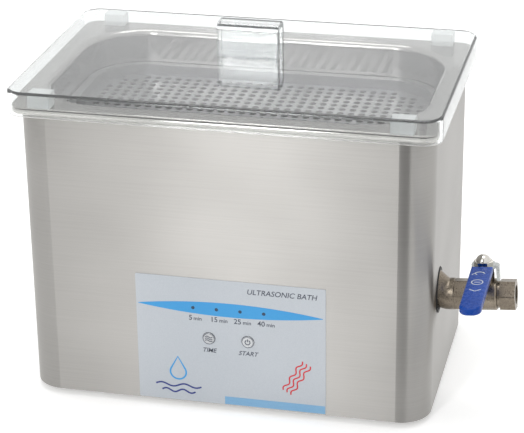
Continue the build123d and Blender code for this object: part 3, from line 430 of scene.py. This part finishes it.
class CleanerStage(bpy.types.PropertyGroup):
    """Strength of the lamps and of the room's light."""

    key_power: FloatProperty(
        name="Key lamp", description="Power of the main soft lamp", default=10.0, unit="POWER"
    )
    top_power: FloatProperty(
        name="Top lamp", description="Power of the wide lamp overhead", default=12.0, unit="POWER"
    )
    sky_front: FloatProperty(
        name="Room in front", description="Strength of the even light from the front", default=0.6
    )
    sky_back: FloatProperty(
        name="Room behind", description="Strength of the even light from behind", default=0.85
    )


# ---------------------------------------------------------------- operators


class CLEANER_OT_case(bpy.types.Operator):
    """Brushed stainless sheet on the case and its floor plate"""

    bl_idname = "cleaner.case"
    bl_label = "Case"

    def execute(self, context):
        """Paints the folded case and skins its rolled rim."""
        settings = context.scene.cleaner_steel
        # Stainless 304 sheet, belt-brushed along its length: long horizontal lines that draw
        # every highlight out into a tall soft band.
        steel = surface(
            "brushed stainless sheet", settings.case_tone, "#A4A29F",
            (70.0, 70.0, settings.grain_height / MM), (0.38, 0.46), 0.003,
            radial=True, Metallic=1.0, Anisotropic=1.0, Anisotropic_Rotation=0.25,
        )
        paint(steel, "housing_shell", "base_plate")
        # The same sheet rolled over at the top and buffed bright, so that it shows the room as
        # thin pale and dark lines.
        bright = surface(
            "buffed rolled stainless", "#C9C6C2", "#BAB7B3", 20.0, (0.05, 0.08), 0.003,
            Metallic=1.0,
        )
        low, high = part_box("housing_shell")
        bead = bead_skin(
            (low.x / MM, high.x / MM), (low.y / MM, high.y / MM), BEAD_CORNER,
            BEAD_LOW, high.z / MM, BEAD_EDGE,
        )
        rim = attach(grids_to_object("rim_bead", [bead], bright, around=True), "case")
        thicken(rim, BEAD_THICK)
        return {"FINISHED"}


class CLEANER_OT_tank(bpy.types.Operator):
    """Drawn stainless tank, its flange, the sealing gasket and the perforated tray"""

    bl_idname = "cleaner.tank"
    bl_label = "Tank"

    def execute(self, context):
        """Paints the tank, tray and rubber."""
        # Deep-drawn stainless, buffed after drawing: nearly a mirror, with a faint orange peel.
        drawn = surface(
            "buffed drawn stainless", "#A5A29F", "#979491", 14.0, (0.1, 0.16), 0.004, Metallic=1.0
        )
        paint(drawn, "tank", "drain_stub")
        # Perforated stainless, electropolished: a soft white sheen.
        tray = surface(
            "electropolished stainless", "#929193", "#858487", 3.0, (0.34, 0.42), 0.002,
            Metallic=1.0,
        )
        paint(tray, "basket_frame", "basket_floor")
        # Black nitrile rubber, moulded: dull, slightly dusty.
        rubber = surface("nitrile rubber", "#2A2A2A", "#161616", 0.8, (0.55, 0.75), 0.02)
        paint(rubber, "rim_seal", "drain_grommet", "rubber_feet")
        return {"FINISHED"}


class CLEANER_OT_lid(bpy.types.Operator):
    """Clear acrylic lid, its corner bars and handle"""

    bl_idname = "cleaner.lid"
    bl_label = "Lid"

    def execute(self, context):
        """Paints the three acrylic pieces."""
        # Cast acrylic sheet, cut and folded: water-clear faces with faint wiping haze. Lamps
        # shine through it, so the tank under it is lit.
        made, tree, where = begin("clear cast acrylic")
        haze = speckle(tree, where, 60.0, 1.0)
        clear = put(
            tree,
            "ShaderNodeBsdfPrincipled",
            {
                "Base Color": linear("#F7F9F9"),
                "Roughness": spread(tree, haze, 0.0, 0.012),
                "IOR": ACRYLIC_IOR,
                "Transmission Weight": 1.0,
            },
        ).outputs["BSDF"]
        through = put(tree, "ShaderNodeBsdfTransparent", {"Color": linear("#F0F2F2")})
        # Fine wiping scratches show as a pale veil, and more so along the glancing edges.
        veil = put(tree, "ShaderNodeBsdfDiffuse", {"Color": linear("#F1F3F4")})
        glancing = put(tree, "ShaderNodeLayerWeight", {"Blend": 0.5}).outputs["Facing"]
        share = spread(tree, glancing, 0.02, 0.55, 0.66, 0.98)
        scratched = put(tree, "ShaderNodeMixShader", {0: share, 1: clear, 2: veil.outputs[0]})
        lit = put(tree, "ShaderNodeLightPath").outputs["Is Shadow Ray"]
        mixed = put(
            tree, "ShaderNodeMixShader", {0: lit, 1: scratched.outputs[0], 2: through.outputs[0]}
        )
        put(tree, "ShaderNodeOutputMaterial", {"Surface": mixed.outputs["Shader"]})
        paint(made, "lid", "lid_handle")
        # The bars under the plate are saw-cut from the same sheet, so their faces are matt and
        # pale, with a little light coming through.
        cut, tree, where = begin("saw-cut acrylic")
        grain = speckle(tree, where, (0.5, 4.0, 4.0))
        milk = put(
            tree,
            "ShaderNodeBsdfPrincipled",
            {
                "Base Color": blend(tree, grain, linear("#D2D4D4"), linear("#E4E6E6")),
                "Roughness": spread(tree, grain, 0.35, 0.5),
                "IOR": ACRYLIC_IOR,
                "Alpha": 0.4,
            },
        )
        put(tree, "ShaderNodeOutputMaterial", {"Surface": milk.outputs["BSDF"]})
        paint(cut, "lid_rails")
        return {"FINISHED"}


class CLEANER_OT_panel(bpy.types.Operator):
    """Front label film with its printing, lamps and buttons"""

    bl_idname = "cleaner.panel"
    bl_label = "Front panel"

    def execute(self, context):
        """Paints the film, lamps and buttons, and prints on them."""
        colours = context.scene.cleaner_colours
        # Polycarbonate film, printed on its back in silver-blue: a fine matt tooth over an even
        # pale tone.
        label = surface(
            "printed polycarbonate film", colours.film, "#BDC3CA", 0.6, (0.32, 0.42), 0.003,
            cloud_mm=90.0,
        )
        paint(label, "panel_overlay")
        inks = {
            name: surface(f"{name} screen ink", pale, dark, 0.5, (0.35, 0.45), 0.002)
            for name, pale, dark in (
                ("sky blue", colours.band, "#3A99D8"),
                ("pale blue", "#8DBBDD", "#79ABD3"),
                ("slate", "#4A5160", "#3E4553"),
                ("navy", "#2B3A8C", "#25337E"),
                ("red", "#D8303A", "#C9242F"),
            )
        }
        # The band is a lens: each edge is a parabola, from nothing at the ends to the full
        # bulge in the middle.
        across = np.linspace(*BAND_X, 97)
        middle, half = sum(BAND_X) / 2, (BAND_X[1] - BAND_X[0]) / 2
        bulge = BAND_BULGE * (1 - ((across - middle) / half) ** 2)
        band = np.stack([np.stack([across, BAND_Z + side * bulge], 1) for side in (-1, 1)])
        ink("panel_band", [band[:, 1:-1]], PANEL_FACE, inks["sky blue"], "case")
        bar = np.array([[(x, z) for x in BAR_X] for z in BAR_Z])
        ink("panel_bar", [bar], PANEL_FACE, inks["pale blue"], "case")
        figures = [(m, TIMES_SIZE, x + TIMES_SHIFT, TIMES_Z, 0.0, BOLD) for m, x in TIMES]
        units = [
            ("min", UNIT_SIZE, x + UNIT_SHIFT + DIGIT_W * len(m), UNIT_Z, 0.0, REGULAR)
            for m, x in TIMES
        ]
        letters("panel_minutes", figures + units, PANEL_FACE, inks["slate"], "case")
        labels = [
            (word, LABEL_SIZE, x, LABEL_Z, LABEL_LEAN, REGULAR)
            for word, x in (("TIME", TIME_X), ("START", START_X))
        ]
        letters("panel_labels", [*labels, TITLE], PANEL_FACE, inks["slate"], "case")
        drop = np.concatenate([arc((DROP_X, DROP_Z), DROP_R, 150, 390), [(DROP_X, DROP_TIP)]])
        outline = ribbon(drop, EMBLEM_STROKE, True)
        ink("panel_drop", [outline], PANEL_FACE, inks["sky blue"], "case")
        ripples = [
            ribbon(wave((DROP_X - w, z), (DROP_X + w, z), RIPPLE_H, 4), EMBLEM_STROKE)
            for w, z in RIPPLES
        ]
        ink("panel_ripples", ripples, PANEL_FACE, inks["navy"], "case")
        heat = [
            ribbon(wave((x, z), (x + HEAT_RUN[0], z + HEAT_RUN[1]), HEAT_H, 6), HEAT_STROKE)
            for x, z in HEAT_FEET
        ]
        ink("panel_heat", heat, PANEL_FACE, inks["red"], "case")
        for body, x in (("time_button", TIME_X), ("start_button", START_X)):
            ring = [hoop((x, BUTTON_Z), RING_R, RING_STROKE)]
            ink(f"{body}_ring", ring, BUTTON_FACE, inks["slate"], body)
        waves = [
            ribbon(wave((TIME_X - TICK_HALF, z), (TIME_X + TICK_HALF, z), TICK_H, 2), TICK_STROKE)
            for z in (BUTTON_Z - TICK_GAP, BUTTON_Z, BUTTON_Z + TICK_GAP)
        ]
        ink("time_button_symbol", waves, BUTTON_FACE, inks["slate"], "time_button")
        power = [
            ribbon(arc((START_X, BUTTON_Z), POWER_R, 120, 420), POWER_STROKE),
            ribbon([(START_X, BUTTON_Z + end) for end in POWER_BAR], POWER_STROKE),
        ]
        ink("start_button_symbol", power, BUTTON_FACE, inks["slate"], "start_button")
        steel = surface(
            "satin stainless button", "#C4C6C8", "#A9ABAE", 0.6, (0.3, 0.45), 0.01, Metallic=1.0
        )
        paint(steel, "time_button", "start_button")
        lamp = surface("smoked lamp lens", "#2E4A66", "#22384F", 1.0, (0.08, 0.12), 0.0)
        paint(lamp, "indicator_leds")
        return {"FINISHED"}


class CLEANER_OT_valve(bpy.types.Operator):
    """Drain elbow, ball valve and lever"""

    bl_idname = "cleaner.valve"
    bl_label = "Drain valve"

    def execute(self, context):
        """Paints the valve and prints the marks on the lever's grip."""
        # Brass forging, blasted and then nickel plated: a warm grey satin.
        nickel = surface(
            "satin nickel plate", "#948A7C", "#6E655A", 0.9, (0.25, 0.42), 0.02,
            cloud_mm=12.0, Metallic=1.0,
        )
        paint(nickel, "street_elbow", "valve_body", "valve_end", "gland_nut", "valve_stem")
        chrome = surface(
            "bright nickel plate", "#E2DFD9", "#D2CFC8", 3.0, (0.05, 0.1), 0.002, Metallic=1.0
        )
        paint(chrome, "lever_nut", "valve_ball")
        zinc = surface(
            "bright zinc plate", "#D4D6D4", "#B4B8B6", 1.5, (0.22, 0.36), 0.006, Metallic=1.0
        )
        paint(zinc, "lever_arm")
        # Dip-moulded vinyl: a wet-looking skin over a deep blue, soft enough to scuff.
        vinyl = surface(
            "dipped blue vinyl", context.scene.cleaner_colours.grip, "#083A8C", 2.0,
            (0.22, 0.34), 0.01, cloud_mm=25.0, Specular_IOR_Level=0.25,
        )
        paint(vinyl, "lever_sleeve")
        pad = surface("white pad ink", "#D5DADF", "#BFC6CE", 0.5, (0.4, 0.5), 0.002)
        # A ring with a bar across it, a bent arrow nearer the stem, and a chevron at the end.
        marks = [
            hoop((0.0, BADGE_Y), BADGE_R, BADGE_STROKE),
            ribbon([(-2.0, BADGE_Y), (2.0, BADGE_Y)], BADGE_STROKE),
            ribbon(arc((0.0, -18.5), 3.2, 20, 160), MARK_STROKE),
            ribbon([(-4.6, -19.2), (-3.0, -17.2), (-1.5, -19.4)], MARK_STROKE),
            ribbon([(-3.6, -40.0), (0.0, -42.6), (3.6, -40.0)], MARK_STROKE),
        ]
        top = [on_grip(flat) for flat in marks]
        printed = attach(grids_to_object("lever_marks", top, pad, smooth=False), "valve_lever")
        thicken(printed, INK_THICK, 1.0)
        return {"FINISHED"}


class CLEANER_OT_fittings(bpy.types.Operator):
    """Mains inlet, switch, feet, screws and the parts inside the case"""

    bl_idname = "cleaner.fittings"
    bl_label = "Fittings"

    def execute(self, context):
        """Paints every other node."""
        turned = (0.4, 8.0, 8.0)
        # Finish, pale and dark tone, grain, roughness, bump, metallic, and the nodes it is on.
        for finish, pale, dark, grain, rough, bump, metallic, nodes in (
            ("moulded black nylon", "#1E1F20", "#141516", 0.8, (0.35, 0.5), 0.012, 0.0,
             ("inlet_body", "fuse_drawer", "switch_bezel", "switch_rocker")),
            ("black thermoset", "#26272A", "#191A1C", 0.8, (0.45, 0.6), 0.01, 0.0,
             ("key_switches", "thermostat", "transistors", "capacitors")),
            ("zinc-plated steel", "#C9CBCB", "#AEB2B2", 0.8, (0.25, 0.38), 0.005, 1.0,
             ("foot_screws", "base_screws", "inlet_screws", "board_studs", "transducer_bolts")),
            ("turned aluminium", "#D2D4D6", "#BCBEC1", turned, (0.25, 0.36), 0.006, 1.0,
             ("board_spacers", "heat_sink", "transducer_heads")),
            ("turned steel", "#B2B3B5", "#96979A", turned, (0.25, 0.36), 0.006, 1.0,
             ("transducer_tails",)),
            ("fired ceramic", "#8E8A80", "#7C786E", 0.8, (0.4, 0.55), 0.01, 0.0,
             ("piezo_rings",)),
            ("glass-epoxy board", "#2C6B3F", "#235A34", 0.5, (0.3, 0.45), 0.01, 0.0,
             ("control_board", "driver_board")),
            ("silicone heater mat", "#C2622E", "#AD5426", 1.5, (0.5, 0.7), 0.05, 0.0,
             ("heater_pad",)),
            ("ferrite core", "#3A3836", "#2B2927", 0.8, (0.5, 0.7), 0.02, 0.0,
             ("transformer",)),
            ("brass pin", "#CDB06A", "#B4964F", 0.8, (0.2, 0.32), 0.003, 1.0,
             ("inlet_pins",)),
            ("white ptfe", "#EDEDE8", "#E0E0DA", 0.8, (0.4, 0.5), 0.005, 0.0,
             ("ball_seats",)),
            ("clear fuse glass", "#D8E0DE", "#C8D0CE", 0.8, (0.05, 0.1), 0.0, 0.0,
             ("fuse_link",)),
        ):
            paint(surface(finish, pale, dark, grain, rough, bump, Metallic=metallic), *nodes)
        return {"FINISHED"}


class CLEANER_OT_stage(bpy.types.Operator):
    """Floor, lamps, sky and camera"""

    bl_idname = "cleaner.stage"
    bl_label = "Stage"

    def execute(self, context):
        """Builds the plain studio."""
        scene = context.scene
        stage = scene.cleaner_stage
        made, tree, where = begin("pale studio paper")
        shade = blend(tree, speckle(tree, where, 400.0), linear("#F2F2F1"), linear("#F6F6F5"))
        paper = put(tree, "ShaderNodeBsdfDiffuse", {"Color": shade})
        lift = put(
            tree, "ShaderNodeMath", {0: sees_white(tree), 1: FLOOR_GLOW}, operation="MULTIPLY"
        )
        glow = put(tree, "ShaderNodeEmission", {"Strength": lift.outputs[0]})
        both = put(tree, "ShaderNodeAddShader", {0: paper.outputs["BSDF"], 1: glow.outputs[0]})
        put(tree, "ShaderNodeOutputMaterial", {"Surface": both.outputs["Shader"]})
        ends = (-FLOOR_REACH, FLOOR_REACH)
        corners = np.array([[(x, y, 0.0) for x in ends] for y in ends])
        grids_to_object("studio_floor", [corners], made, smooth=False)

        world = bpy.data.worlds.new("studio sky")
        scene.world = world
        world.use_nodes = True
        tree = world.node_tree
        tree.nodes.clear()
        # The room is paler behind the object than behind the camera.
        way = put(tree, "ShaderNodeTexCoord").outputs["Generated"]
        rearward = put(tree, "ShaderNodeSeparateXYZ", {"Vector": way}).outputs["Y"]
        room = spread(tree, rearward, stage.sky_front, stage.sky_back, -0.7, 0.7)
        strength = put(
            tree, "ShaderNodeMix", {0: sees_white(tree), 2: room, 3: 1.0}, data_type="FLOAT"
        ).outputs[0]
        back = put(
            tree, "ShaderNodeBackground", {"Color": (1.0, 1.0, 1.0, 1.0), "Strength": strength}
        )
        put(tree, "ShaderNodeOutputWorld", {"Surface": back.outputs["Background"]})

        for name, place, size, power in (
            ("key softbox", (-0.42, -1.75, 1.15), (0.28, 1.1), stage.key_power),
            ("top softbox", (0.0, 0.2, 1.9), (1.2, 0.8), stage.top_power),
        ):
            lamp = bpy.data.lights.new(name, "AREA")
            lamp.shape = "RECTANGLE"
            lamp.size, lamp.size_y = size
            lamp.energy = power
            holder = bpy.data.objects.new(name, lamp)
            scene.collection.objects.link(holder)
            holder.location = place
            holder.rotation_mode = "QUATERNION"
            aim = Vector(SOFTBOX_AIM) - Vector(place)
            holder.rotation_quaternion = aim.to_track_quat("-Z", "Y")
            holder.visible_camera = False
        # Two grey cards that show only as reflections, set to draw a dark line down a bright
        # edge: one stands by the right front corner, and a long low one crosses the front for
        # the rolled rim. Each has its glow, the two ends of its foot, and its heights.
        for name, glow, foot, span in (
            ("corner_card", 0.4, [(101.0, -234.0), (195.0, -214.0)], (1.0, 420.0)),
            ("rim_card", 0.05, [(-330.0, -700.0), (60.0, -640.0)], (200.0, 330.0)),
        ):
            card, tree, _ = begin(f"grey {name}")
            felt = put(tree, "ShaderNodeEmission", {"Strength": glow})
            put(tree, "ShaderNodeOutputMaterial", {"Surface": felt.outputs["Emission"]})
            sides = np.stack([np.column_stack([foot, [z, z]]) for z in span])
            flag = grids_to_object(name, [sides], card, smooth=False)
            flag.visible_camera = flag.visible_diffuse = flag.visible_shadow = False
            flag.visible_transmission = False

        camera = bpy.data.cameras.new("camera")
        camera.lens, camera.sensor_width = CAMERA_LENS, CAMERA_SENSOR
        camera.clip_start, camera.clip_end = 0.05, 50.0
        holder = bpy.data.objects.new("camera", camera)
        scene.collection.objects.link(holder)
        yaw, pitch, lean = (math.radians(angle) for angle in CAMERA_TURN)
        holder.matrix_world = (
            Matrix.Translation(CAMERA_PLACE)
            @ Matrix.Rotation(yaw, 4, "Z")
            @ Matrix.Rotation(math.pi / 2 - pitch, 4, "X")
            @ Matrix.Rotation(lean, 4, "Z")
        )
        scene.camera = holder
        scene.view_settings.view_transform = "Standard"
        return {"FINISHED"}


OPERATORS = (
    CLEANER_OT_case,
    CLEANER_OT_tank,
    CLEANER_OT_lid,
    CLEANER_OT_panel,
    CLEANER_OT_valve,
    CLEANER_OT_fittings,
    CLEANER_OT_stage,
)


class CLEANER_PT_sidebar(bpy.types.Panel):
    """Lists the cleaner's pieces and their settings"""

    bl_label = "Ultrasonic cleaner"
    bl_idname = "CLEANER_PT_sidebar"
    bl_space_type = "VIEW_3D"
    bl_region_type = "UI"
    bl_category = "Cleaner"

    def draw(self, context):
        """Shows the settings, then one button for each operator."""
        scene = context.scene
        for group in (scene.cleaner_steel, scene.cleaner_colours, scene.cleaner_stage):
            for name in group.__annotations__:
                self.layout.prop(group, name)
        for operator in OPERATORS:
            self.layout.operator(operator.bl_idname)


CLASSES = (CleanerSteel, CleanerColours, CleanerStage, *OPERATORS, CLEANER_PT_sidebar)


def register():
    """Registers every class and hangs the settings on the scene."""
    for item in CLASSES:
        bpy.utils.register_class(item)
    bpy.types.Scene.cleaner_steel = PointerProperty(type=CleanerSteel)
    bpy.types.Scene.cleaner_colours = PointerProperty(type=CleanerColours)
    bpy.types.Scene.cleaner_stage = PointerProperty(type=CleanerStage)


def unregister():
    """Takes the settings and classes away again."""
    del bpy.types.Scene.cleaner_stage
    del bpy.types.Scene.cleaner_colours
    del bpy.types.Scene.cleaner_steel
    for item in reversed(CLASSES):
        bpy.utils.unregister_class(item)


def main():
    """Makes every piece in order."""
    register()
    for operator in OPERATORS:
        group, name = operator.bl_idname.split(".")
        getattr(getattr(bpy.ops, group), name)()
    bpy.context.view_layer.update()


if __name__ == "__main__":
    main()
